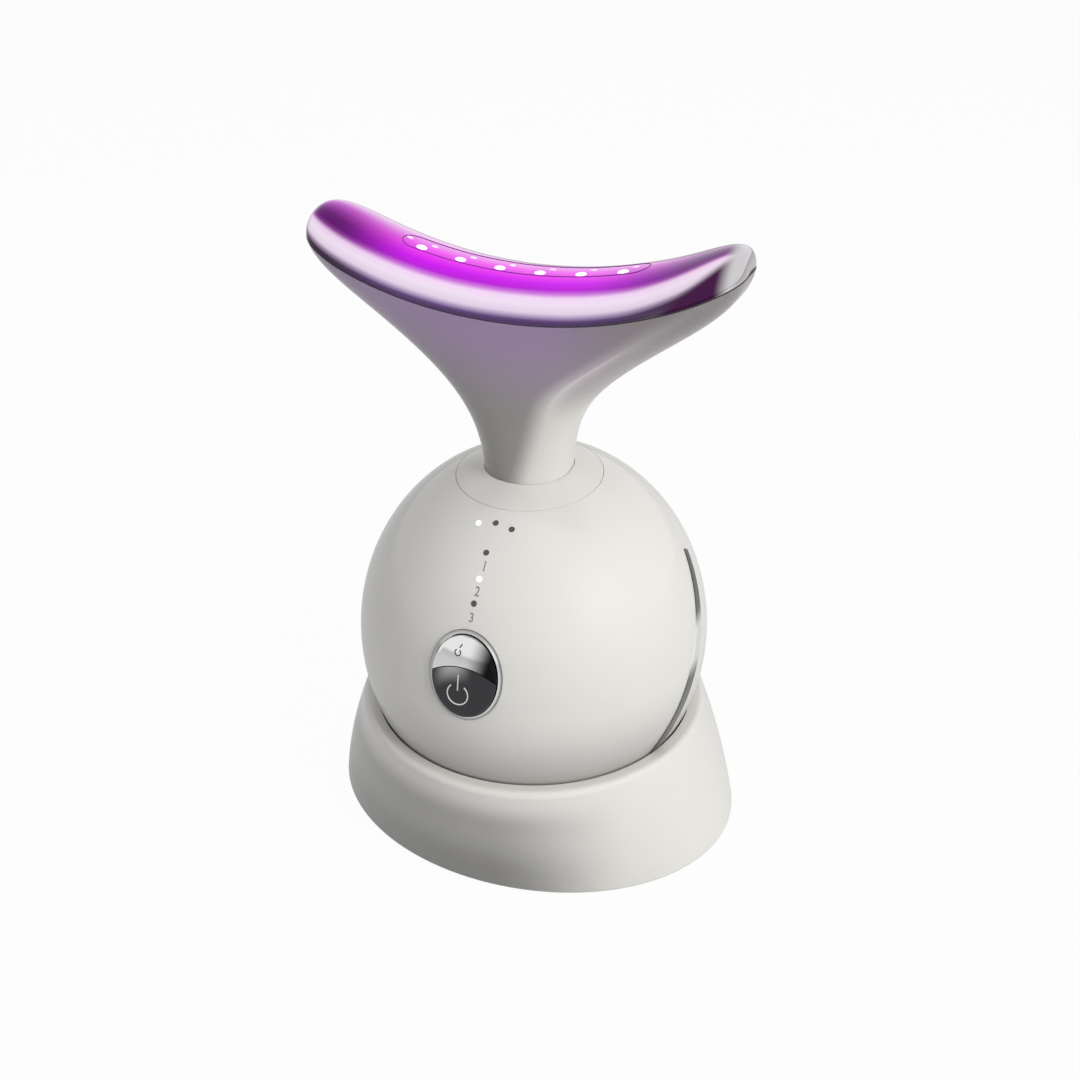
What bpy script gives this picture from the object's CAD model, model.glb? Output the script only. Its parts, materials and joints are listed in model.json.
import bpy
import json
import math
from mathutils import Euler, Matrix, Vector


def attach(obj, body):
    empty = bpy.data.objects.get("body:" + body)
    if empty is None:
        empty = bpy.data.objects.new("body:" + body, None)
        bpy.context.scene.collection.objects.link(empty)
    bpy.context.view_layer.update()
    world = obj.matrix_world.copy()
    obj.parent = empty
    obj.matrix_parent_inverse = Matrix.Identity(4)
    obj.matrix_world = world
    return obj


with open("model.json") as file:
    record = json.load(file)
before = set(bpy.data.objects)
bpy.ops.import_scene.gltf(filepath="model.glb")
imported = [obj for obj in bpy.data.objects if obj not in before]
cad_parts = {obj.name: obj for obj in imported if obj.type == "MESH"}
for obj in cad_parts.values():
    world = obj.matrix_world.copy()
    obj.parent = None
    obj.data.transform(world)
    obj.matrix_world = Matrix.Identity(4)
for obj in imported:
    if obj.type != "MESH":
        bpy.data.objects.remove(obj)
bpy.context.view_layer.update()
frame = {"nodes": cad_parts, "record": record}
nodes = frame["nodes"]
scene = bpy.context.scene
mm = 0.001

# shared shape of the body: an egg of revolution about Z
egg = dict(radius=39.0, halfHeight=43.2, centreZ=47.2)
# shared shape of the head: its middle in y, its half width, and the arc of the seam under the cap
head = dict(y=-5.108, halfWidth=43.9, seamMid=124.9, seamRadius=93.5)


def eggRadius(z, grow=0.0):
    rise = (z - egg["centreZ"]) / (egg["halfHeight"] + grow)
    return (egg["radius"] + grow) * math.sqrt(max(0.0, 1 - rise * rise))


def eggFront(x, z, proud=0.0):
    # point on the front of the body at x and z, a little proud of it
    r = eggRadius(z, proud)
    return Vector((x, -math.sqrt(max(0.0, r * r - x * x)), z))


# camera and light
cameraSet = dict(azimuth=21.357, elevation=30.118, distance=276.46, lens=42.09, aimSide=1.35, aimZ=68.86)
lampAim = Vector((0, 0, 0.07))
lightSet = dict(
    key=dict(at=(1.02, -0.38, 0.62), size=0.7, watts=10.8, colour=(1.0, 0.995, 0.985)),
    fill=dict(at=(-0.50, -0.80, 0.95), size=0.9, watts=3.0, colour=(0.97, 0.98, 1.0)),
    top=dict(at=(0.15, 0.05, 1.10), size=0.9, watts=3.6, colour=(1.0, 1.0, 1.0)),
)


def makeCamera():
    a, e = math.radians(cameraSet["azimuth"]), math.radians(cameraSet["elevation"])
    back = Vector((math.sin(a) * math.cos(e), -math.cos(a) * math.cos(e), math.sin(e)))
    right = Vector((math.cos(a), math.sin(a), 0))
    aim = right * cameraSet["aimSide"] + Vector((0, 0, cameraSet["aimZ"]))
    data = bpy.data.cameras.new("studioCamera")
    data.lens = cameraSet["lens"]
    data.sensor_width = 36.0
    data.clip_start = 0.01
    cam = bpy.data.objects.new("studioCamera", data)
    cam.location = (aim + back * cameraSet["distance"]) * mm
    cam.rotation_euler = Euler((math.pi / 2 - e, 0, a))
    scene.collection.objects.link(cam)
    scene.camera = cam


def makeLights():
    for name, s in lightSet.items():
        data = bpy.data.lights.new(name + "Light", "AREA")
        data.shape = "DISK"
        data.size = s["size"]
        data.energy = s["watts"]
        data.color = s["colour"]
        lamp = bpy.data.objects.new(name + "Light", data)
        lamp.location = s["at"]
        lamp.rotation_euler = (lampAim - Vector(s["at"])).to_track_quat("-Z", "Y").to_euler()
        lamp.visible_glossy = False  # the plating mirrors the pale room, not the lamps
        scene.collection.objects.link(lamp)


makeCamera()
makeLights()
print("camera and lights ready")


# small helpers for material trees
def newMaterial(name):
    mat = bpy.data.materials.new(name)
    mat.use_nodes = True
    tree = mat.node_tree
    tree.nodes.clear()
    out = tree.nodes.new("ShaderNodeOutputMaterial")
    shader = tree.nodes.new("ShaderNodeBsdfPrincipled")
    tree.links.new(shader.outputs["BSDF"], out.inputs["Surface"])
    return mat, tree, shader


def addNode(tree, kind, **settings):
    node = tree.nodes.new(kind)
    for key, value in settings.items():
        setattr(node, key, value)
    return node


def objectCoords(tree):
    return addNode(tree, "ShaderNodeTexCoord").outputs["Object"]


def mathNode(tree, operation, a, b=None, c=None, clamp=False):
    node = addNode(tree, "ShaderNodeMath", operation=operation, use_clamp=clamp)
    for socket, value in zip(node.inputs, (a, b, c)):
        if value is None:
            continue
        if isinstance(value, (int, float)):
            socket.default_value = value
        else:
            tree.links.new(value, socket)
    return node.outputs[0]


def mixColour(tree, factor, a, b):
    node = addNode(tree, "ShaderNodeMix", data_type="RGBA")
    for socket, value in ((node.inputs[0], factor), (node.inputs[6], a), (node.inputs[7], b)):
        if isinstance(value, (int, float)):
            socket.default_value = value
        elif isinstance(value, tuple):
            socket.default_value = value if len(value) == 4 else value + (1.0,)
        else:
            tree.links.new(value, socket)
    return node.outputs[2]


def rampNode(tree, factor, stops, interpolation="EASE"):
    node = addNode(tree, "ShaderNodeValToRGB")
    ramp = node.color_ramp
    ramp.interpolation = interpolation
    while len(ramp.elements) < len(stops):
        ramp.elements.new(0.5)
    for element, (place, colour) in zip(ramp.elements, stops):
        element.position = place
        element.color = colour if len(colour) == 4 else tuple(colour) + (1.0,)
    tree.links.new(factor, node.inputs[0])
    return node.outputs[0]


def mapRange(tree, value, low, high, smooth=True):
    node = addNode(tree, "ShaderNodeMapRange", interpolation_type="SMOOTHSTEP" if smooth else "LINEAR")
    tree.links.new(value, node.inputs["Value"])
    node.inputs["From Min"].default_value = low
    node.inputs["From Max"].default_value = high
    return node.outputs["Result"]


def mouldedSkinGroup():
    # faint unevenness of moulded and plated skins: a value that drifts, a fine roughness and a soft normal
    group = bpy.data.node_groups.new("mouldedSkin", "ShaderNodeTree")
    face = group.interface
    scale = face.new_socket("Scale", in_out="INPUT", socket_type="NodeSocketFloat")
    scale.default_value = 60.0
    depth = face.new_socket("Depth", in_out="INPUT", socket_type="NodeSocketFloat")
    depth.default_value = 0.02
    spread = face.new_socket("Spread", in_out="INPUT", socket_type="NodeSocketFloat")
    spread.default_value = 0.05
    base = face.new_socket("Base Roughness", in_out="INPUT", socket_type="NodeSocketFloat")
    base.default_value = 0.3
    face.new_socket("Drift", in_out="OUTPUT", socket_type="NodeSocketFloat")
    face.new_socket("Roughness", in_out="OUTPUT", socket_type="NodeSocketFloat")
    face.new_socket("Height", in_out="OUTPUT", socket_type="NodeSocketFloat")
    inside = group.nodes.new("NodeGroupInput")
    outside = group.nodes.new("NodeGroupOutput")
    coords = objectCoords(group)
    broad = addNode(group, "ShaderNodeTexNoise")
    broad.inputs["Detail"].default_value = 2.0
    group.links.new(coords, broad.inputs["Vector"])
    group.links.new(inside.outputs["Scale"], broad.inputs["Scale"])
    fineScale = mathNode(group, "MULTIPLY", inside.outputs["Scale"], 22.0)
    fine = addNode(group, "ShaderNodeTexNoise")
    fine.inputs["Detail"].default_value = 3.0
    group.links.new(coords, fine.inputs["Vector"])
    group.links.new(fineScale, fine.inputs["Scale"])
    group.links.new(broad.outputs["Fac"], outside.inputs["Drift"])
    centred = mathNode(group, "SUBTRACT", broad.outputs["Fac"], 0.5)
    spreadBy = mathNode(group, "MULTIPLY", centred, inside.outputs["Spread"])
    rough = mathNode(group, "ADD", inside.outputs["Base Roughness"], spreadBy, clamp=True)
    group.links.new(rough, outside.inputs["Roughness"])
    height = mathNode(group, "MULTIPLY", fine.outputs["Fac"], inside.outputs["Depth"])
    group.links.new(height, outside.inputs["Height"])
    return group


mouldedSkin = mouldedSkinGroup()


def placeSkin(tree, shader, roughness, scale=60.0, depth=0.02, spread=0.05, bump=0.00002):
    node = addNode(tree, "ShaderNodeGroup", node_tree=mouldedSkin)
    node.inputs["Scale"].default_value = scale
    node.inputs["Depth"].default_value = depth
    node.inputs["Spread"].default_value = spread
    node.inputs["Base Roughness"].default_value = roughness
    tree.links.new(node.outputs["Roughness"], shader.inputs["Roughness"])
    relief = addNode(tree, "ShaderNodeBump")
    relief.inputs["Strength"].default_value = 0.25
    relief.inputs["Distance"].default_value = bump
    tree.links.new(node.outputs["Height"], relief.inputs["Height"])
    tree.links.new(relief.outputs["Normal"], shader.inputs["Normal"])
    return node.outputs["Drift"]


def separated(tree):
    node = addNode(tree, "ShaderNodeSeparateXYZ")
    tree.links.new(objectCoords(tree), node.inputs[0])
    return node.outputs


# finishes of the inner pieces
def plasticFinish(name, colour, roughness=0.35, shift=0.04, scale=60.0, depth=0.3):
    mat, tree, shader = newMaterial(name)
    drift = placeSkin(tree, shader, roughness, scale=scale, depth=depth)
    dark = tuple(c * (1 - shift) for c in colour)
    light = tuple(min(1.0, c * (1 + shift)) for c in colour)
    tree.links.new(mixColour(tree, drift, dark, light), shader.inputs["Base Color"])
    return mat


def metalFinish(name, colour, roughness=0.25, scale=300.0, shift=0.08):
    mat, tree, shader = newMaterial(name)
    drift = placeSkin(tree, shader, roughness, scale=scale, depth=0.3, spread=0.12)
    dark = tuple(c * (1 - shift) for c in colour)
    light = tuple(min(1.0, c * (1 + shift)) for c in colour)
    tree.links.new(mixColour(tree, drift, dark, light), shader.inputs["Base Color"])
    shader.inputs["Metallic"].default_value = 1.0
    return mat


def boardFinish(name, mask, copper):
    # solder mask with faint tracks under it
    mat, tree, shader = newMaterial(name)
    drift = placeSkin(tree, shader, 0.35, scale=200.0, depth=0.3)
    cells = addNode(tree, "ShaderNodeTexVoronoi", feature="DISTANCE_TO_EDGE", distance="MANHATTAN")
    cells.inputs["Scale"].default_value = 420.0
    tree.links.new(objectCoords(tree), cells.inputs["Vector"])
    track = mapRange(tree, cells.outputs["Distance"], 0.05, 0.09)
    base = mixColour(tree, drift, tuple(c * 0.85 for c in mask), mask)
    tree.links.new(mixColour(tree, track, copper, base), shader.inputs["Base Color"])
    return mat


# helpers for zones of colour
def times(tree, first, *others):
    for value in others:
        first = mathNode(tree, "MULTIPLY", first, value)
    return first


def scaledColour(tree, colour, keep):
    node = addNode(tree, "ShaderNodeVectorMath", operation="SCALE")
    tree.links.new(colour, node.inputs[0])
    node.inputs["Scale"].default_value = keep
    return node.outputs[0]


def darkened(tree, colour, amount, keep):
    # the colour times keep where amount is 1
    return mixColour(tree, amount, colour, scaledColour(tree, colour, keep))


def seamHeight(tree, x):
    # height of the seam arc at x, both in metres
    radius = head["seamRadius"] * mm
    root = mathNode(tree, "SQRT", mathNode(tree, "SUBTRACT", radius * radius, mathNode(tree, "MULTIPLY", x, x)))
    return mathNode(tree, "SUBTRACT", head["seamMid"] * mm + radius, root)


# white shells; lengths inside the finishes are in metres
shellSet = dict(
    colour=(0.76, 0.745, 0.71), shade=(0.70, 0.685, 0.65), roughness=0.30, coat=0.55, coatRoughness=0.05,
    bellyTop=0.050, bellyFoot=0.026, bellyKeep=0.50,
)


def shellBase(tree, shader):
    drift = placeSkin(tree, shader, shellSet["roughness"], scale=28.0, depth=0.25, spread=0.06)
    shader.inputs["Coat Weight"].default_value = shellSet["coat"]
    shader.inputs["Coat Roughness"].default_value = shellSet["coatRoughness"]
    return mixColour(tree, drift, shellSet["shade"], shellSet["colour"])


def shellFinish(name):
    # white shell, dimmer low on its belly
    mat, tree, shader = newMaterial(name)
    base = shellBase(tree, shader)
    belly = mapRange(tree, separated(tree)[2], shellSet["bellyTop"], shellSet["bellyFoot"])
    tree.links.new(darkened(tree, base, belly, shellSet["bellyKeep"]), shader.inputs["Base Color"])
    return mat


cradleSet = dict(
    left=(0.034, 0.004), front=(0.012, -0.020), frontSlant=0.25, under=(0.0285, 0.021), keep=0.53,
    foot=(0.018, 0.006), footKeep=0.62,
)


def cradleFinish(name):
    # the same shell, dimmer over its front and left below the lip, and dimmer still at its foot
    mat, tree, shader = newMaterial(name)
    base = shellBase(tree, shader)
    xyz = separated(tree)
    s = cradleSet
    left = mapRange(tree, xyz[0], *s["left"])
    front = mapRange(tree, mathNode(tree, "MULTIPLY_ADD", xyz[0], s["frontSlant"], xyz[1]), *s["front"])
    shaded = mathNode(tree, "MULTIPLY", left, front)
    base = darkened(tree, base, times(tree, shaded, mapRange(tree, xyz[2], *s["under"])), s["keep"])
    foot = times(tree, shaded, mapRange(tree, xyz[2], *s["foot"]))
    tree.links.new(darkened(tree, base, foot, s["footKeep"]), shader.inputs["Base Color"])
    return mat


hornSet = dict(
    front=(0.27, 0.255, 0.25), frontAmount=0.92, facing=0.005,
    # the crease: its x at the neck, how fast it moves right with height, and faster above the bend
    creaseFoot=0.003, creaseStart=0.090, creaseLow=0.31, creaseHigh=0.95, bend=0.110, bendSoft=0.006,
    soft=0.0045, edge=0.001,
    side=(0.36, 0.345, 0.34), sideAmount=0.55, sideSoft=0.003, sideRise=(0.102, 0.113),
    line=(0.88, 0.87, 0.86), lineHalf=0.0009, lineAmount=0.34, lineFade=(0.004, 0.010),
    spill=(0.42, 0.25, 0.53), spillRight=(0.26, 0.215, 0.25), spillDepth=0.022, spillAmount=0.75,
    spillTurn=(0.004, 0.028), wing=(0.024, 0.040), wingKeep=0.72,
)


def hornFinish(name):
    # white shell that greys over the overhanging front and takes on the cap's violet under the seam
    mat, tree, shader = newMaterial(name)
    base = shellBase(tree, shader)
    xyz = separated(tree)
    s = hornSet
    below = mathNode(tree, "SUBTRACT", seamHeight(tree, xyz[0]), xyz[2])
    # x of the crease where the front turns into the brighter right side
    rise = mathNode(tree, "SUBTRACT", xyz[2], s["creaseStart"])
    over = mathNode(tree, "SMOOTH_MAX", mathNode(tree, "SUBTRACT", xyz[2], s["bend"]), 0.0, s["bendSoft"])
    crease = mathNode(tree, "MULTIPLY_ADD", rise, s["creaseLow"], s["creaseFoot"])
    crease = mathNode(tree, "MULTIPLY_ADD", over, s["creaseHigh"], crease)
    away = mathNode(tree, "SUBTRACT", xyz[0], crease)
    front = mapRange(tree, away, s["edge"], -s["soft"])
    facing = mapRange(tree, mathNode(tree, "SUBTRACT", (head["y"] + 1.0) * mm, xyz[1]), 0.0, s["facing"])
    base = mixColour(tree, times(tree, front, facing, s["frontAmount"]), base, s["front"])
    # greyer right of the crease on the wing
    high = times(tree, mapRange(tree, xyz[2], *s["sideRise"]), facing)
    side = times(tree, mapRange(tree, away, 0.0, s["sideSoft"]), high, s["sideAmount"])
    base = mixColour(tree, side, base, s["side"])
    # the cap's colour under the seam
    spill = times(tree, mapRange(tree, below, s["spillDepth"], 0.0), s["spillAmount"])
    tint = mixColour(tree, mapRange(tree, xyz[0], *s["spillTurn"]), s["spill"], s["spillRight"])
    base = mixColour(tree, spill, base, tint)
    # a thin bright line along the crease
    near = mapRange(tree, mathNode(tree, "ABSOLUTE", away), s["lineHalf"], 0.0)
    fade = times(tree, mapRange(tree, below, *s["lineFade"]), s["lineAmount"])
    base = mixColour(tree, times(tree, near, high, fade), base, s["line"])
    wing = mapRange(tree, mathNode(tree, "ABSOLUTE", xyz[0]), *s["wing"])
    tree.links.new(darkened(tree, base, wing, s["wingKeep"]), shader.inputs["Base Color"])
    return mat


def platedBase(name, roughness, spread=0.05):
    # mirror plating: the material, its tree and shader, and a value that drifts
    mat, tree, shader = newMaterial(name)
    drift = placeSkin(tree, shader, roughness, scale=40.0, depth=0.1, spread=spread)
    shader.inputs["Metallic"].default_value = 1.0
    return mat, tree, shader, drift


def chromeFinish(name, colour, roughness=0.08):
    mat, tree, shader, drift = platedBase(name, roughness)
    shade = tuple(c * 0.93 for c in colour)
    tree.links.new(mixColour(tree, drift, shade, colour), shader.inputs["Base Color"])
    return mat


upperKeySet = dict(
    pale=(0.74, 0.74, 0.74), bright=(0.86, 0.86, 0.85), black=(0.012, 0.012, 0.012),
    # x where the smoke starts and ends at the height smokeZ, and how it leans to the right above it
    smokeStart=0.0002, smokeEnd=0.0054, smokeZ=0.0615, lean=0.25,
)


def upperKeyFinish(name):
    # bright plating that smokes to black along its right edge
    mat, tree, shader, drift = platedBase(name, 0.09)
    s = upperKeySet
    bright = mixColour(tree, drift, s["pale"], s["bright"])
    xyz = separated(tree)
    across = mathNode(tree, "MULTIPLY_ADD", xyz[2], -s["lean"], xyz[0])
    offset = s["lean"] * s["smokeZ"]
    smoke = mapRange(tree, across, s["smokeStart"] - offset, s["smokeEnd"] - offset)
    tree.links.new(mixColour(tree, smoke, bright, s["black"]), shader.inputs["Base Color"])
    return mat


lowerKeySet = dict(
    dark=(0.040, 0.040, 0.045), light=(0.075, 0.075, 0.080), glint=(0.46, 0.46, 0.46),
    # the glint follows the arched joint: its heights, the arch's bend, its middle and half width
    heights=(0.0566, 0.0608), bow=85.0, middle=-0.0022, reach=0.0046, full=0.0005,
)


def lowerKeyFinish(name):
    # smoked plating, paler in the middle where it meets the joint
    mat, tree, shader, drift = platedBase(name, 0.12, spread=0.06)
    s = lowerKeySet
    dark = mixColour(tree, drift, s["dark"], s["light"])
    xyz = separated(tree)
    rise = mathNode(tree, "ADD", xyz[2], times(tree, xyz[0], xyz[0], s["bow"]))
    aside = mathNode(tree, "ABSOLUTE", mathNode(tree, "SUBTRACT", xyz[0], s["middle"]))
    glint = times(tree, mapRange(tree, rise, *s["heights"]), mapRange(tree, aside, s["reach"], s["full"]))
    tree.links.new(mixColour(tree, glint, dark, s["glint"]), shader.inputs["Base Color"])
    return mat


bezelSet = dict(
    dark=(0.30, 0.30, 0.30), dull=(0.50, 0.50, 0.49), bright=(0.86, 0.86, 0.85),
    middleZ=0.0578, halfWidth=0.0079, halfHeight=0.0094,
    lit=(-0.10, 0.55), litLean=0.45, rim=(0.945, 0.985), rimAmount=0.85, driftKeep=0.94,
)


def bezelFinish(name):
    # plated ring: bright along its right and lower run, dull elsewhere, with a dark outer edge
    mat, tree, shader, drift = platedBase(name, 0.12)
    s = bezelSet
    xyz = separated(tree)
    x = mathNode(tree, "DIVIDE", xyz[0], s["halfWidth"])
    z = mathNode(tree, "DIVIDE", mathNode(tree, "SUBTRACT", xyz[2], s["middleZ"]), s["halfHeight"])
    ring = mathNode(tree, "SQRT", mathNode(tree, "MULTIPLY_ADD", x, x, mathNode(tree, "MULTIPLY", z, z)))
    lit = mapRange(tree, mathNode(tree, "MULTIPLY_ADD", z, -s["litLean"], x), *s["lit"])
    body = mixColour(tree, lit, s["dull"], s["bright"])
    body = mixColour(tree, times(tree, mapRange(tree, ring, *s["rim"]), s["rimAmount"]), body, s["dark"])
    tree.links.new(darkened(tree, body, drift, s["driftKeep"]), shader.inputs["Base Color"])
    return mat


trimSet = dict(
    pale=(0.86, 0.86, 0.85), bright=(0.94, 0.94, 0.93), smoked=(0.085, 0.085, 0.085), span=0.1,
    # share of the span above the table, and how smoked the strip is there
    smoke=[
        (0.25, 0.0), (0.31, 1.0), (0.46, 0.95), (0.51, 0.0),
        (0.56, 0.0), (0.60, 0.95), (0.69, 1.0), (0.74, 0.8),
    ],
)


def trimFinish(name):
    # bright strip with two smoked stretches
    mat, tree, shader, drift = platedBase(name, 0.10)
    s = trimSet
    bright = mixColour(tree, drift, s["pale"], s["bright"])
    height = mathNode(tree, "DIVIDE", separated(tree)[2], s["span"])
    smoke = rampNode(tree, height, [(place, (v, v, v)) for place, v in s["smoke"]])
    tree.links.new(mixColour(tree, smoke, bright, s["smoked"]), shader.inputs["Base Color"])
    return mat


capSet = dict(
    depth=12.7, rise=6.7, endPower=8.0, depthShare=0.3, roughness=0.11, windowRoughness=0.16,
    wobbleScale=45.0, wobble=5.0,
    # angle from the front seam over the crown to the rear seam, and the colour there
    lowest=-40.0, highest=180.0,
    lit=[
        (-40, (0.42, 0.35, 0.42)), (-6, (0.30, 0.24, 0.34)), (3, (0.13, 0.08, 0.20)),
        (9, (0.105, 0.055, 0.17)), (14, (0.36, 0.26, 0.46)), (21, (0.76, 0.64, 0.80)),
        (33, (0.88, 0.75, 0.90)), (42, (0.92, 0.68, 0.94)), (48, (0.64, 0.20, 0.74)),
        (54, (0.50, 0.018, 0.70)), (64, (0.64, 0.006, 0.88)), (74, (0.82, 0.020, 0.90)),
        (86, (0.90, 0.07, 0.90)), (100, (0.84, 0.28, 0.84)), (116, (0.88, 0.52, 0.90)),
        (134, (0.80, 0.58, 0.84)), (154, (0.55, 0.12, 0.62)), (168, (0.13, 0.06, 0.20)),
        (180, (0.30, 0.24, 0.34)),
    ],
    plain=[
        (-40, (0.50, 0.44, 0.48)), (-6, (0.28, 0.24, 0.28)), (2, (0.075, 0.055, 0.085)),
        (10, (0.055, 0.030, 0.065)), (16, (0.30, 0.22, 0.33)), (22, (0.74, 0.62, 0.76)),
        (34, (0.86, 0.74, 0.87)), (43, (0.84, 0.62, 0.85)), (50, (0.26, 0.05, 0.29)),
        (56, (0.12, 0.010, 0.15)), (68, (0.13, 0.010, 0.16)), (80, (0.28, 0.018, 0.32)),
        (94, (0.52, 0.060, 0.56)), (106, (0.72, 0.30, 0.74)), (120, (0.80, 0.54, 0.82)),
        (136, (0.74, 0.54, 0.76)), (154, (0.30, 0.06, 0.34)), (168, (0.06, 0.03, 0.07)),
        (180, (0.28, 0.24, 0.28)),
    ],
    glowLeft=(-0.037, -0.019), glowRight=(0.037, 0.012),
    # how far the bands climb towards the right end, in degrees
    climb=22.0, climbReach=(0.022, 0.040), climbPower=1.8,
    # a dark slanting patch ends the pale band before the bare right tip
    patch=(0.060, 0.014, 0.060), patchReach=(0.0306, 0.0348), patchSlope=0.00020, patchMiddle=16.0,
    patchTop=(78.0, 62.0),
    tip=(0.62, 0.60, 0.62), tipReach=(0.0394, 0.0422),
    tipLeft=(0.50, 0.36, 0.52), tipLeftReach=(-0.0412, -0.0434),
)


def capAngle(tree, xyz):
    # angle about the crown's own line, which follows the seam and narrows to the two tips
    s = capSet
    span = mathNode(tree, "DIVIDE", mathNode(tree, "ABSOLUTE", xyz[0]), head["halfWidth"] * mm)
    fall = mathNode(tree, "SUBTRACT", 1.0, mathNode(tree, "POWER", span, s["endPower"]))
    depth = mathNode(tree, "POWER", mathNode(tree, "MAXIMUM", fall, 0.001), s["depthShare"])
    over = times(tree, mathNode(tree, "SUBTRACT", xyz[2], seamHeight(tree, xyz[0])), s["depth"] / s["rise"])
    ahead = mathNode(tree, "DIVIDE", mathNode(tree, "SUBTRACT", head["y"] * mm, xyz[1]), depth)
    angle = times(tree, mathNode(tree, "ARCTAN2", over, ahead), 180 / math.pi)
    wobble = addNode(tree, "ShaderNodeTexNoise")
    wobble.inputs["Scale"].default_value = s["wobbleScale"]
    wobble.inputs["Detail"].default_value = 1.0
    tree.links.new(objectCoords(tree), wobble.inputs["Vector"])
    centred = mathNode(tree, "SUBTRACT", angle, s["wobble"] / 2)
    return mathNode(tree, "MULTIPLY_ADD", wobble.outputs["Fac"], s["wobble"], centred)


def capFinish(name, roughness):
    # mirror plating with bands that follow the seam, lit magenta over the middle
    mat, tree, shader = newMaterial(name)
    placeSkin(tree, shader, roughness, scale=35.0, depth=0.1, spread=0.04)
    shader.inputs["Metallic"].default_value = 1.0
    s = capSet
    xyz = separated(tree)
    around = capAngle(tree, xyz)
    toRight = mapRange(tree, xyz[0], *s["climbReach"], smooth=False)
    climb = times(tree, mathNode(tree, "POWER", toRight, s["climbPower"]), s["climb"])
    angle = mathNode(tree, "SUBTRACT", around, climb)
    reach = s["highest"] - s["lowest"]
    place = mathNode(tree, "DIVIDE", mathNode(tree, "SUBTRACT", angle, s["lowest"]), reach)
    bands = []
    for key in ("plain", "lit"):
        stops = [((a - s["lowest"]) / reach, colour) for a, colour in s[key]]
        bands.append(rampNode(tree, place, stops, interpolation="LINEAR"))
    glow = times(tree, mapRange(tree, xyz[0], *s["glowLeft"]), mapRange(tree, xyz[0], *s["glowRight"]))
    colour = mixColour(tree, glow, bands[0], bands[1])
    past = mathNode(tree, "SUBTRACT", around, s["patchMiddle"])
    edge = mathNode(tree, "MULTIPLY_ADD", past, -s["patchSlope"], xyz[0])
    patch = times(tree, mapRange(tree, edge, *s["patchReach"]), mapRange(tree, around, *s["patchTop"]))
    colour = mixColour(tree, patch, colour, s["patch"])
    colour = mixColour(tree, mapRange(tree, xyz[0], *s["tipReach"]), colour, s["tip"])
    colour = mixColour(tree, mapRange(tree, xyz[0], *s["tipLeftReach"]), colour, s["tipLeft"])
    tree.links.new(colour, shader.inputs["Base Color"])
    return mat


# two of the six pipes are lit: the left of the level row and the middle of the mode column
indicatorSet = dict(
    levelX=-2.0, modeZ=75.75, modeReach=1.4, roughness=0.22, strength=0.55, coat=0.5,
    dark=(0.035, 0.035, 0.035), light=(0.06, 0.06, 0.058), lit=(0.95, 0.95, 0.93), glow=(1.0, 1.0, 0.98),
)


def indicatorFinish(name):
    mat, tree, shader = newMaterial(name)
    s = indicatorSet
    drift = placeSkin(tree, shader, s["roughness"], scale=400.0, depth=0.2)
    xyz = separated(tree)
    left = mathNode(tree, "LESS_THAN", xyz[0], s["levelX"] * mm)
    middle = mathNode(tree, "COMPARE", xyz[2], s["modeZ"] * mm, s["modeReach"] * mm)
    lit = mathNode(tree, "MAXIMUM", left, middle)
    dark = mixColour(tree, drift, s["dark"], s["light"])
    tree.links.new(mixColour(tree, lit, dark, s["lit"]), shader.inputs["Base Color"])
    tree.links.new(mixColour(tree, lit, (0.0, 0.0, 0.0), s["glow"]), shader.inputs["Emission Color"])
    shader.inputs["Emission Strength"].default_value = s["strength"]
    shader.inputs["Coat Weight"].default_value = s["coat"]
    return mat


finishes = {
    "shell_white": shellFinish("shellWhite"),
    "chrome_bright": chromeFinish("chromeBright", (0.80, 0.80, 0.81)),
    "chrome_dark": lowerKeyFinish("chromeDark"),
    "light_window": capFinish("windowLit", capSet["windowRoughness"]),
    "light_pipe": indicatorFinish("lightPipe"),
    "led_chip": plasticFinish("ledChip", (0.85, 0.80, 0.55), 0.3, scale=300.0),
    "circuit_board": boardFinish("circuitBoard", (0.02, 0.16, 0.07), (0.10, 0.35, 0.12)),
    "board_white": boardFinish("boardWhite", (0.80, 0.80, 0.78), (0.62, 0.62, 0.58)),
    "zinc_screw": metalFinish("zincScrew", (0.62, 0.63, 0.66)),
    "gold_contact": metalFinish("goldContact", (0.86, 0.62, 0.22), 0.2),
    "battery_foil": metalFinish("batteryFoil", (0.66, 0.67, 0.70), 0.42, scale=120.0),
    "inner_plastic": plasticFinish("innerPlastic", (0.04, 0.04, 0.045), 0.45, scale=120.0),
    "white_plastic": plasticFinish("whitePlastic", (0.70, 0.70, 0.68), 0.45, scale=120.0),
    "black_rubber": plasticFinish("blackRubber", (0.02, 0.02, 0.02), 0.7, scale=200.0, depth=0.8),
    "grey_rubber": plasticFinish("greyRubber", (0.18, 0.18, 0.19), 0.65, scale=200.0, depth=0.8),
    "heater_film": plasticFinish("heaterFilm", (0.45, 0.18, 0.02), 0.3, scale=200.0, shift=0.15),
    "motor_steel": metalFinish("motorSteel", (0.60, 0.60, 0.62), 0.3),
    "tungsten": metalFinish("tungsten", (0.30, 0.30, 0.31), 0.45),
    "socket_steel": metalFinish("socketSteel", (0.68, 0.68, 0.70), 0.22),
    "cable_sheath": plasticFinish("cableSheath", (0.02, 0.02, 0.025), 0.5, scale=200.0, depth=0.6),
}
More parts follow.
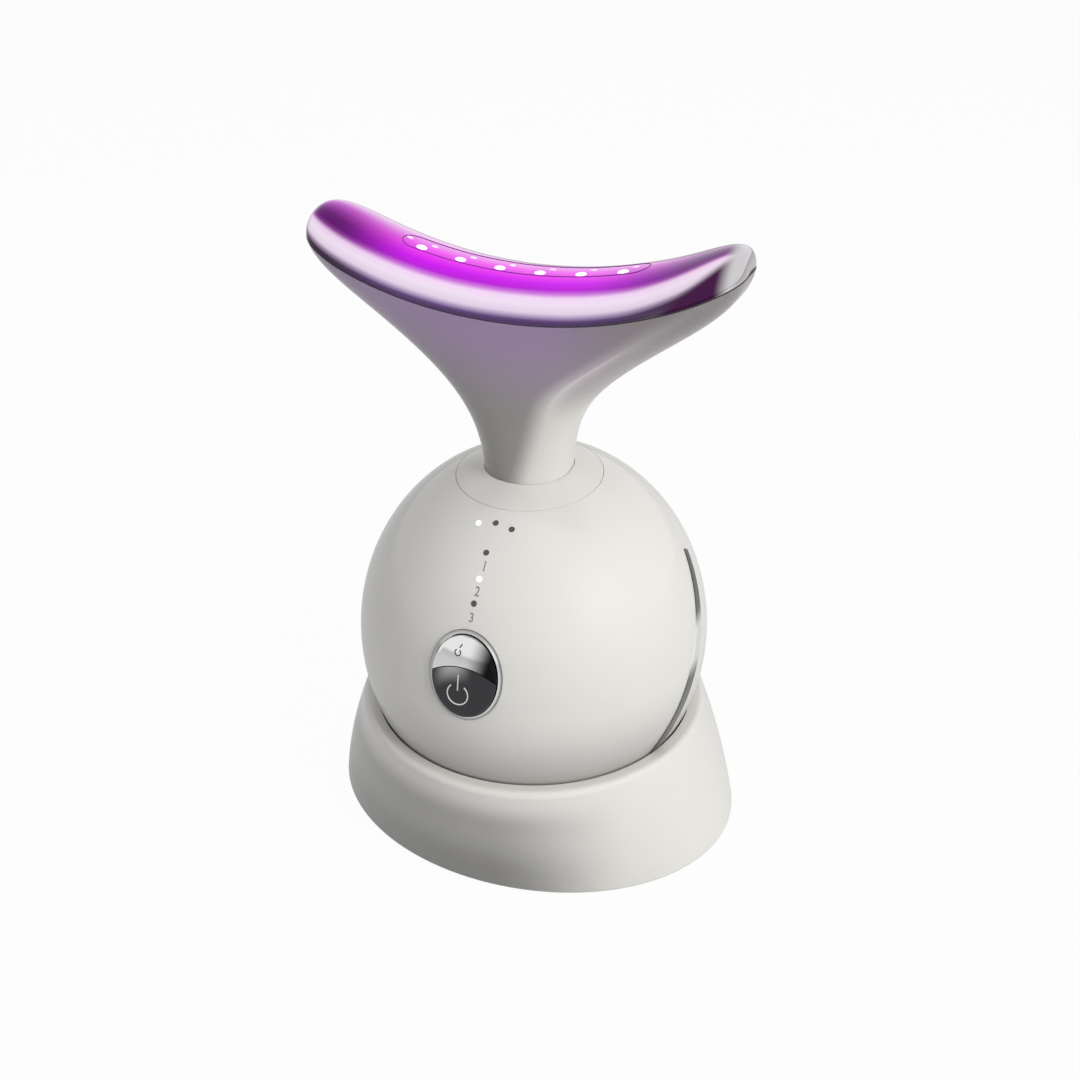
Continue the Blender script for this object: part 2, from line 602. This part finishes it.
# pieces whose plating or shell has zones of its own
ownFinish = dict(
    neck_horn=hornFinish("hornShell"),
    cradle_shell=cradleFinish("cradleShell"),
    electrode_cap=capFinish("capPlating", capSet["roughness"]),
    upper_button=upperKeyFinish("upperKeyChrome"),
    button_bezel=bezelFinish("bezelChrome"),
    side_trim_left=trimFinish("trimChrome"),
)
ownFinish["side_trim_right"] = ownFinish["side_trim_left"]
slotOf = {s["node"]: s["material_slot"] for s in frame["record"]["subparts"]}
for nodeName, obj in nodes.items():
    obj.data.materials.clear()
    obj.data.materials.append(ownFinish.get(nodeName, finishes[slotOf[nodeName]]))
print("finishes ready:", len(finishes) + len(ownFinish))


# trees for small pieces that are dropped onto the surface of a bigger one, in metres
rayLength = 0.2
startHeight = 0.18  # above the whole head


def surfaceTree(name, inputs):
    tree = bpy.data.node_groups.new(name, "GeometryNodeTree")
    face = tree.interface
    face.new_socket("Geometry", in_out="INPUT", socket_type="NodeSocketGeometry")
    for label, kind in inputs:
        face.new_socket(label, in_out="INPUT", socket_type="NodeSocket" + kind)
    face.new_socket("Geometry", in_out="OUTPUT", socket_type="NodeSocketGeometry")
    return tree, tree.nodes.new("NodeGroupInput").outputs, tree.nodes.new("NodeGroupOutput").inputs


def dropOn(tree, geometry, target, direction, lift):
    # every point moves along the direction until it meets the target, and stops a little above it
    info = addNode(tree, "GeometryNodeObjectInfo")
    ray = addNode(tree, "GeometryNodeRaycast")
    tree.links.new(target, info.inputs["Object"])
    tree.links.new(info.outputs["Geometry"], ray.inputs["Target Geometry"])
    tree.links.new(direction, ray.inputs["Ray Direction"])
    ray.inputs["Ray Length"].default_value = rayLength
    raised = addNode(tree, "ShaderNodeVectorMath", operation="SCALE")
    tree.links.new(ray.outputs["Hit Normal"], raised.inputs[0])
    tree.links.new(lift, raised.inputs["Scale"])
    landed = addNode(tree, "ShaderNodeVectorMath", operation="ADD")
    tree.links.new(ray.outputs["Hit Position"], landed.inputs[0])
    tree.links.new(raised.outputs[0], landed.inputs[1])
    keep = addNode(tree, "GeometryNodeCaptureAttribute", domain="POINT")
    keep.capture_items.new("VECTOR", "Normal")
    tree.links.new(geometry, keep.inputs["Geometry"])
    tree.links.new(ray.outputs["Hit Normal"], keep.inputs["Normal"])
    moved = addNode(tree, "GeometryNodeSetPosition")
    tree.links.new(keep.outputs["Geometry"], moved.inputs["Geometry"])
    tree.links.new(landed.outputs[0], moved.inputs["Position"])
    return moved.outputs["Geometry"], keep.outputs["Normal"]


def finishTree(tree, geometry, material, out):
    real = addNode(tree, "GeometryNodeRealizeInstances")
    paint = addNode(tree, "GeometryNodeSetMaterial")
    tree.links.new(geometry, real.inputs[0])
    tree.links.new(real.outputs[0], paint.inputs["Geometry"])
    tree.links.new(material, paint.inputs["Material"])
    tree.links.new(paint.outputs[0], out[0])


def lightRowTree():
    tree, given, out = surfaceTree("lightRow", [
        ("Target", "Object"), ("Direction", "Vector"), ("Lift", "Float"), ("Count", "Int"),
        ("Pitch", "Float"), ("Shift", "Float"), ("Row Y", "Float"), ("End Reach", "Float"),
        ("Lens Size", "Vector"), ("Material", "Material"),
    ])
    line = addNode(tree, "GeometryNodeMeshLine", mode="OFFSET")
    tree.links.new(given["Count"], line.inputs["Count"])
    step = addNode(tree, "ShaderNodeCombineXYZ")
    tree.links.new(given["Pitch"], step.inputs[0])
    tree.links.new(step.outputs[0], line.inputs["Offset"])
    half = mathNode(tree, "MULTIPLY", mathNode(tree, "SUBTRACT", given["Count"], 1.0), -0.5)
    first = mathNode(tree, "MULTIPLY_ADD", half, given["Pitch"], given["Shift"])
    start = addNode(tree, "ShaderNodeCombineXYZ")
    tree.links.new(first, start.inputs[0])
    tree.links.new(given["Row Y"], start.inputs[1])
    start.inputs[2].default_value = startHeight
    tree.links.new(start.outputs[0], line.inputs["Start Location"])
    # a light past the end of the window stands at its end
    spot = addNode(tree, "ShaderNodeSeparateXYZ")
    tree.links.new(addNode(tree, "GeometryNodeInputPosition").outputs[0], spot.inputs[0])
    within = mathNode(tree, "MAXIMUM", spot.outputs[0], mathNode(tree, "MULTIPLY", given["End Reach"], -1.0))
    held = addNode(tree, "ShaderNodeCombineXYZ")
    tree.links.new(within, held.inputs[0])
    tree.links.new(spot.outputs[1], held.inputs[1])
    tree.links.new(spot.outputs[2], held.inputs[2])
    placed = addNode(tree, "GeometryNodeSetPosition")
    tree.links.new(line.outputs["Mesh"], placed.inputs["Geometry"])
    tree.links.new(held.outputs[0], placed.inputs["Position"])
    row = placed.outputs["Geometry"]
    points, normal = dropOn(tree, row, given["Target"], given["Direction"], given["Lift"])
    lens = addNode(tree, "GeometryNodeMeshIcoSphere")
    lens.inputs["Radius"].default_value = 1.0
    lens.inputs["Subdivisions"].default_value = 3
    smooth = addNode(tree, "GeometryNodeSetShadeSmooth")
    tree.links.new(lens.outputs["Mesh"], smooth.inputs["Geometry"])
    turn = addNode(tree, "FunctionNodeAlignRotationToVector", axis="Z")
    tree.links.new(normal, turn.inputs["Vector"])
    copies = addNode(tree, "GeometryNodeInstanceOnPoints")
    tree.links.new(points, copies.inputs["Points"])
    tree.links.new(smooth.outputs["Geometry"], copies.inputs["Instance"])
    tree.links.new(turn.outputs["Rotation"], copies.inputs["Rotation"])
    tree.links.new(given["Lens Size"], copies.inputs["Scale"])
    finishTree(tree, copies.outputs["Instances"], given["Material"], out)
    return tree


def surfaceLineTree():
    tree, given, out = surfaceTree("surfaceLine", [
        ("Target", "Object"), ("Direction", "Vector"), ("Lift", "Float"), ("Spacing", "Float"),
        ("Line Radius", "Float"), ("Material", "Material"),
    ])
    curve = addNode(tree, "GeometryNodeMeshToCurve")
    tree.links.new(given["Geometry"], curve.inputs["Mesh"])
    even = addNode(tree, "GeometryNodeResampleCurve", mode="LENGTH")
    tree.links.new(curve.outputs["Curve"], even.inputs["Curve"])
    tree.links.new(given["Spacing"], even.inputs["Length"])
    laid, normal = dropOn(tree, even.outputs["Curve"], given["Target"], given["Direction"], given["Lift"])
    ring = addNode(tree, "GeometryNodeCurvePrimitiveCircle")
    ring.inputs["Resolution"].default_value = 10
    tree.links.new(given["Line Radius"], ring.inputs["Radius"])
    body = addNode(tree, "GeometryNodeCurveToMesh")
    tree.links.new(laid, body.inputs["Curve"])
    tree.links.new(ring.outputs["Curve"], body.inputs["Profile Curve"])
    body.inputs["Fill Caps"].default_value = True
    finishTree(tree, body.outputs["Mesh"], given["Material"], out)
    return tree


def fixTree(name, tree, values, mesh=None):
    # runs the tree on an object of its own and keeps what it makes as a plain mesh
    obj = bpy.data.objects.new(name, mesh or bpy.data.meshes.new(name))
    scene.collection.objects.link(obj)
    modifier = obj.modifiers.new("shape", "NODES")
    modifier.node_group = tree
    for item in tree.interface.items_tree:
        if item.item_type == "SOCKET" and item.in_out == "INPUT" and item.name in values:
            modifier[item.identifier] = values[item.name]
    made = bpy.data.meshes.new_from_object(obj.evaluated_get(bpy.context.evaluated_depsgraph_get()))
    obj.modifiers.clear()
    obj.data = made
    made.name = name
    print(name, "has", len(made.polygons), "faces")
    return obj


def outlineMesh(name, loops):
    # edges only: each loop is a list of points in mm, and says whether it closes
    verts, edges = [], []
    for points, closed in loops:
        first = len(verts)
        verts += [tuple(c * mm for c in p) for p in points]
        edges += [(first + i, first + i + 1) for i in range(len(points) - 1)]
        if closed:
            edges.append((len(verts) - 1, first))
    mesh = bpy.data.meshes.new(name)
    mesh.from_pydata(verts, edges, [])
    return mesh


def arcPoints(centre, radius, start, end, steps, place):
    turns = [math.radians(start + (end - start) * i / steps) for i in range(steps + 1)]
    return [place(centre[0] + radius * math.cos(t), centre[1] + radius * math.sin(t)) for t in turns]


lightRow = lightRowTree()
surfaceLine = surfaceLineTree()


# the head's lights and the dark line round their window
def glowFinish(name, colour, strength):
    mat, tree, shader = newMaterial(name)
    drift = placeSkin(tree, shader, 0.25, scale=900.0, depth=0.2)
    pale = mixColour(tree, drift, tuple(c * 0.94 for c in colour), colour)
    tree.links.new(pale, shader.inputs["Base Color"])
    tree.links.new(pale, shader.inputs["Emission Color"])
    shader.inputs["Emission Strength"].default_value = strength
    shader.inputs["Coat Weight"].default_value = 0.3
    return mat


headLightSet = dict(
    front=dict(count=6, shift=0.0, rowY=-1.7, lens=(1.12, 0.90, 0.30), colour=(1.0, 0.90, 1.0), strength=0.75),
    rear=dict(count=7, shift=-2.4, rowY=0.6, lens=(0.70, 0.46, 0.18), colour=(0.98, 0.66, 0.98), strength=0.35),
    pitch=8.2, endReach=24.1, windowLength=25.0, windowWidth=2.7,
    lineOut=0.16, lineRadius=0.09, lineLift=0.02, lineSpacing=0.5, lineColour=(0.26, 0.02, 0.32),
)
down = (0.0, 0.0, -1.0)


def aboveHead(x, y):
    return (x, head["y"] + y, startHeight / mm)


def makeHeadLights():
    h = headLightSet
    for key in ("front", "rear"):
        s = h[key]
        row = fixTree("capLights" + key.capitalize(), lightRow, {
            "Target": nodes["light_window"], "Direction": down, "Lift": 0.0, "Count": s["count"],
            "Pitch": h["pitch"] * mm, "Shift": s["shift"] * mm, "Row Y": (head["y"] + s["rowY"]) * mm,
            "End Reach": h["endReach"] * mm, "Lens Size": tuple(c * mm for c in s["lens"]),
            "Material": glowFinish("capLight" + key.capitalize(), s["colour"], s["strength"]),
        })
        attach(row, "handset")
    radius = h["windowWidth"] + h["lineOut"]
    reach = h["windowLength"] - h["windowWidth"]
    ring = arcPoints((reach, 0), radius, -90, 90, 12, aboveHead)
    ring += arcPoints((-reach, 0), radius, 90, 270, 12, aboveHead)
    line = fixTree("windowLine", surfaceLine, {
        "Target": nodes["electrode_cap"], "Direction": down, "Lift": h["lineLift"] * mm,
        "Spacing": h["lineSpacing"] * mm, "Line Radius": h["lineRadius"] * mm,
        "Material": plasticFinish("windowSeal", h["lineColour"], 0.3, scale=400.0),
    }, outlineMesh("windowLine", [(ring, True)]))
    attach(line, "handset")


makeHeadLights()

# raised symbols on the two buttons
markSet = dict(
    power=dict(
        centre=(-0.7, 54.6), radius=2.25, gap=38.0, barTop=4.3, barBottom=0.9, lineRadius=0.17, lift=0.03,
    ),
    mode=dict(centre=(-1.3, 63.2), radius=0.62, tick=((0.35, 1.0), (0.75, 1.75)), lineRadius=0.13, lift=0.02),
    powerColour=(0.74, 0.74, 0.73), modeColour=(0.06, 0.06, 0.06),
)
inward = (0.0, 1.0, 0.0)


def beforeBody(x, z):
    return (x, -60.0, z)


def markInputs(target, spacing, s, material):
    return {
        "Target": nodes[target], "Direction": inward, "Lift": s["lift"] * mm, "Spacing": spacing * mm,
        "Line Radius": s["lineRadius"] * mm, "Material": material,
    }


def makeMarks():
    s = markSet["power"]
    x, z = s["centre"]
    arc = arcPoints((x, z), s["radius"], 90 + s["gap"], 450 - s["gap"], 28, beforeBody)
    bar = [beforeBody(x, z + s["barTop"]), beforeBody(x, z + s["barBottom"])]
    bright = chromeFinish("markBright", markSet["powerColour"], 0.2)
    power = fixTree(
        "powerMark", surfaceLine, markInputs("lower_button", 0.25, s, bright),
        outlineMesh("powerMark", [(arc, False), (bar, False)]))
    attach(power, "lower_key")
    s = markSet["mode"]
    x, z = s["centre"]
    drop = arcPoints((x, z), s["radius"], 120, 420, 16, beforeBody)
    tick = [beforeBody(x + across, z + up) for across, up in s["tick"]]
    dark = plasticFinish("markDark", markSet["modeColour"], 0.3, scale=400.0)
    mode = fixTree(
        "modeMark", surfaceLine, markInputs("upper_button", 0.2, s, dark),
        outlineMesh("modeMark", [(drop, False), (tick, False)]))
    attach(mode, "upper_key")


makeMarks()

# small numbers by the mode lights
numberSet = dict(
    size=2.3, thick=0.03, lift=0.01, colour=(0.20, 0.20, 0.20),
    places=[("1", 0.45, 77.75), ("2", 0.2, 73.7), ("3", 0.05, 69.2)],
)


def makeNumbers():
    ink = plasticFinish("numberInk", numberSet["colour"], 0.5, scale=500.0)
    for text, x, z in numberSet["places"]:
        data = bpy.data.curves.new("number" + text, "FONT")
        data.body = text
        data.size = numberSet["size"] * mm
        data.align_x = "CENTER"
        data.align_y = "CENTER"
        data.extrude = numberSet["thick"] * mm
        data.resolution_u = 5
        letter = bpy.data.objects.new("number" + text, data)
        scene.collection.objects.link(letter)
        mesh = bpy.data.meshes.new_from_object(letter.evaluated_get(bpy.context.evaluated_depsgraph_get()))
        bpy.data.objects.remove(letter)
        # laid on the body: across stays across, up follows the surface
        for v in mesh.vertices:
            point = eggFront(x + v.co.x / mm, z + v.co.y / mm, numberSet["lift"] + v.co.z / mm)
            v.co = point * mm
        mesh.materials.clear()
        mesh.materials.append(ink)
        number = bpy.data.objects.new("modeNumber" + text, mesh)
        scene.collection.objects.link(number)
        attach(number, "handset")


makeNumbers()
print("lights, marks and numbers ready")


# floor and background
stageSet = dict(size=8.0, floor=(0.62, 0.62, 0.62), ambient=0.20, cameraLift=0.965, glossLift=0.45)


def makeFloor():
    half = stageSet["size"] / 2
    mesh = bpy.data.meshes.new("studioFloor")
    corners = [(-half, -half, 0), (half, -half, 0), (half, half, 0), (-half, half, 0)]
    mesh.from_pydata(corners, [], [(0, 1, 2, 3)])
    floor = bpy.data.objects.new("studioFloor", mesh)
    scene.collection.objects.link(floor)
    mat, tree, shader = newMaterial("paperFloor")
    drift = placeSkin(tree, shader, 0.8, scale=6.0, depth=0.0)
    shade = tuple(c * 0.99 for c in stageSet["floor"])
    tree.links.new(mixColour(tree, drift, shade, stageSet["floor"]), shader.inputs["Base Color"])
    shader.inputs["Specular IOR Level"].default_value = 0.1
    glow = addNode(tree, "ShaderNodeEmission")
    glow.inputs["Strength"].default_value = 1.0
    path = addNode(tree, "ShaderNodeLightPath")
    seen = mathNode(tree, "MULTIPLY", path.outputs["Is Camera Ray"], stageSet["cameraLift"])
    mirrored = mathNode(tree, "MAXIMUM", path.outputs["Is Glossy Ray"], path.outputs["Is Transmission Ray"])
    lift = mathNode(tree, "MAXIMUM", seen, mathNode(tree, "MULTIPLY", mirrored, stageSet["glossLift"]))
    blend = addNode(tree, "ShaderNodeMixShader")
    tree.links.new(lift, blend.inputs[0])
    tree.links.new(shader.outputs["BSDF"], blend.inputs[1])
    tree.links.new(glow.outputs[0], blend.inputs[2])
    out = next(n for n in tree.nodes if n.type == "OUTPUT_MATERIAL")
    tree.links.new(blend.outputs[0], out.inputs["Surface"])
    mesh.materials.append(mat)


def makeWorld():
    world = bpy.data.worlds.new("studioWorld")
    world.use_nodes = True
    tree = world.node_tree
    tree.nodes.clear()
    out = tree.nodes.new("ShaderNodeOutputWorld")
    back = tree.nodes.new("ShaderNodeBackground")
    path = tree.nodes.new("ShaderNodeLightPath")
    mirrored = mathNode(tree, "MAXIMUM", path.outputs["Is Glossy Ray"], path.outputs["Is Transmission Ray"])
    seen = mathNode(tree, "MAXIMUM", path.outputs["Is Camera Ray"], mirrored)
    strength = addNode(tree, "ShaderNodeMapRange")
    tree.links.new(seen, strength.inputs["Value"])
    strength.inputs["To Min"].default_value = stageSet["ambient"]
    strength.inputs["To Max"].default_value = 1.0
    tree.links.new(strength.outputs["Result"], back.inputs["Strength"])
    tree.links.new(back.outputs[0], out.inputs["Surface"])
    back.inputs["Color"].default_value = (1, 1, 1, 1)
    scene.world = world
    scene.view_settings.view_transform = "Standard"


makeFloor()
makeWorld()
print("floor and world ready")
